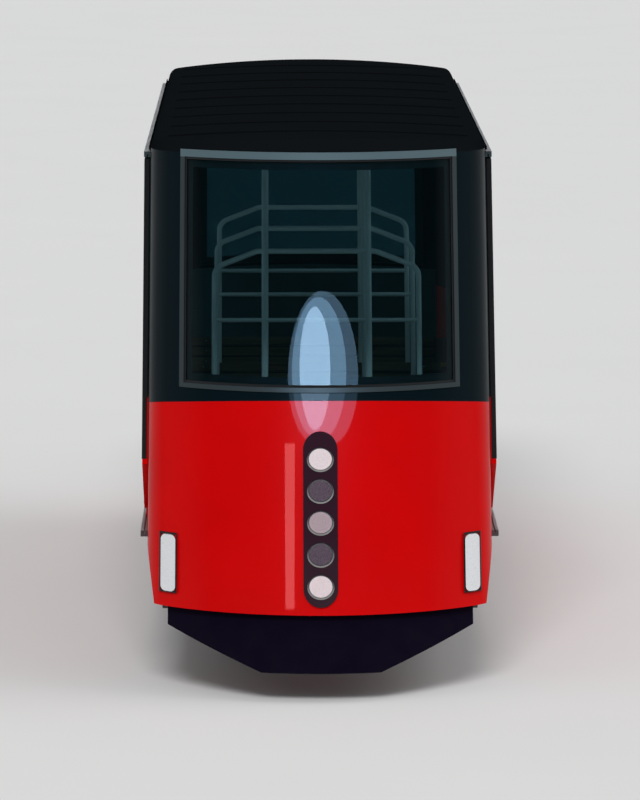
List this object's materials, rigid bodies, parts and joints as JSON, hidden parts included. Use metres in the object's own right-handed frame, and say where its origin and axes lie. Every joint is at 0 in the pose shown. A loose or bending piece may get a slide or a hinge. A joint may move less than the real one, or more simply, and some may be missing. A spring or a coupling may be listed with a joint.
{
  "type": "funicular car",
  "caption": "Red funicular car with a bulged glazed front, stepped compartments, sliding doors and flanged rail wheels, modelled parallel to its sloping track",
  "frame": {"origin": "middle of the car's footprint on the plane that its wheel flanges stand on", "axes": "X across the car, to the right when looking uphill; Y along the rails, uphill; Z square to the plane of the rails. The track climbs 60 per cent, so what is upright in the world leans 31 degrees from Z toward +Y"},
  "size_m": [2.212, 9.8506, 3.258],
  "materials": {
    "red_shell": "gloss red paint",
    "side_shell": "gloss red paint below the waist, near-black above",
    "door_shell": "gloss red paint below the waist, near-black above",
    "dark_shell": "satin near-black paint",
    "roof_shell": "satin dark grey paint",
    "tinted_glass": "dark blue-green tinted safety glass",
    "floor_plate": "ribbed grey floor covering",
    "guide_metal": "satin extruded profile",
    "sill_metal": "ribbed tread plate",
    "trim_metal": "satin light grey frame around the end windows",
    "lamp_plate": "dark moulded plate",
    "lamp_lens": "clear and dark lenses",
    "marker_lens": "white lens",
    "frame_steel": "matt dark grey paint",
    "apron_steel": "satin dark maroon paint",
    "wheel_steel": "machined tread, dark hub",
    "cast_box": "painted casting",
    "brake_steel": "painted casting with worn jaws",
    "equipment_paint": "grey paint",
    "clevis_steel": "machined steel",
    "bench_steel": "grey powder coat",
    "bench_wood": "clear varnish",
    "rail_metal": "brushed tube"
  },
  "bodies": {
    "car": {"nose_lower": "red_shell", "tail_lower": "red_shell", "wall_left": "side_shell", "wall_right": "side_shell", "nose_frame": "dark_shell", "tail_frame": "dark_shell", "roof": "roof_shell", "nose_glass": "tinted_glass", "tail_glass": "tinted_glass", "side_glass": "tinted_glass", "floor": "floor_plate", "door_guides": "guide_metal", "door_sills": "sill_metal", "screen_trim": "trim_metal", "lamp_strips": "lamp_plate", "lamp_lenses": "lamp_lens", "marker_lamps": "marker_lens", "underframe": "frame_steel", "floor_stringers": "frame_steel", "aprons": "apron_steel", "axle_boxes": "cast_box", "rail_brakes": "brake_steel", "equipment_box": "equipment_paint", "rope_clevis": "clevis_steel", "towing_eye": "clevis_steel", "bench_brackets": "bench_steel", "bench_slats": "bench_wood", "grab_rails": "rail_metal"},
    "axle_lower": {"axle_lower": "wheel_steel"},
    "axle_upper": {"axle_upper": "wheel_steel"},
    "door_left_1": {"door_left_1": "door_shell", "door_glass_left_1": "tinted_glass"},
    "door_left_2": {"door_left_2": "door_shell", "door_glass_left_2": "tinted_glass"},
    "door_left_3": {"door_left_3": "door_shell", "door_glass_left_3": "tinted_glass"},
    "door_left_4": {"door_left_4": "door_shell", "door_glass_left_4": "tinted_glass"},
    "door_right_1": {"door_right_1": "door_shell", "door_glass_right_1": "tinted_glass"},
    "door_right_2": {"door_right_2": "door_shell", "door_glass_right_2": "tinted_glass"},
    "door_right_3": {"door_right_3": "door_shell", "door_glass_right_3": "tinted_glass"},
    "door_right_4": {"door_right_4": "door_shell", "door_glass_right_4": "tinted_glass"}
  },
  "joints": [
    {"name": "roll_lower", "type": "hinge", "parent": "car", "child": "axle_lower", "pos_m": [0, -2.8855, 0.236], "axis": [1, 0, 0], "continuous": true},
    {"name": "roll_upper", "type": "hinge", "parent": "car", "child": "axle_upper", "pos_m": [0, 1.3145, 0.236], "axis": [1, 0, 0], "continuous": true},
    {"name": "slide_left_1", "type": "slide", "parent": "car", "child": "door_left_1", "axis": [0, 1, 0], "range_m": [0, 0.78]},
    {"name": "slide_left_2", "type": "slide", "parent": "car", "child": "door_left_2", "axis": [0, 1, 0], "range_m": [0, 0.78]},
    {"name": "slide_left_3", "type": "slide", "parent": "car", "child": "door_left_3", "axis": [0, 1, 0], "range_m": [0, 0.78]},
    {"name": "slide_left_4", "type": "slide", "parent": "car", "child": "door_left_4", "axis": [0, 1, 0], "range_m": [0, 0.78]},
    {"name": "slide_right_1", "type": "slide", "parent": "car", "child": "door_right_1", "axis": [0, 1, 0], "range_m": [0, 0.78]},
    {"name": "slide_right_2", "type": "slide", "parent": "car", "child": "door_right_2", "axis": [0, 1, 0], "range_m": [0, 0.78]},
    {"name": "slide_right_3", "type": "slide", "parent": "car", "child": "door_right_3", "axis": [0, 1, 0], "range_m": [0, 0.78]},
    {"name": "slide_right_4", "type": "slide", "parent": "car", "child": "door_right_4", "axis": [0, 1, 0], "range_m": [0, 0.78]}
  ]
}
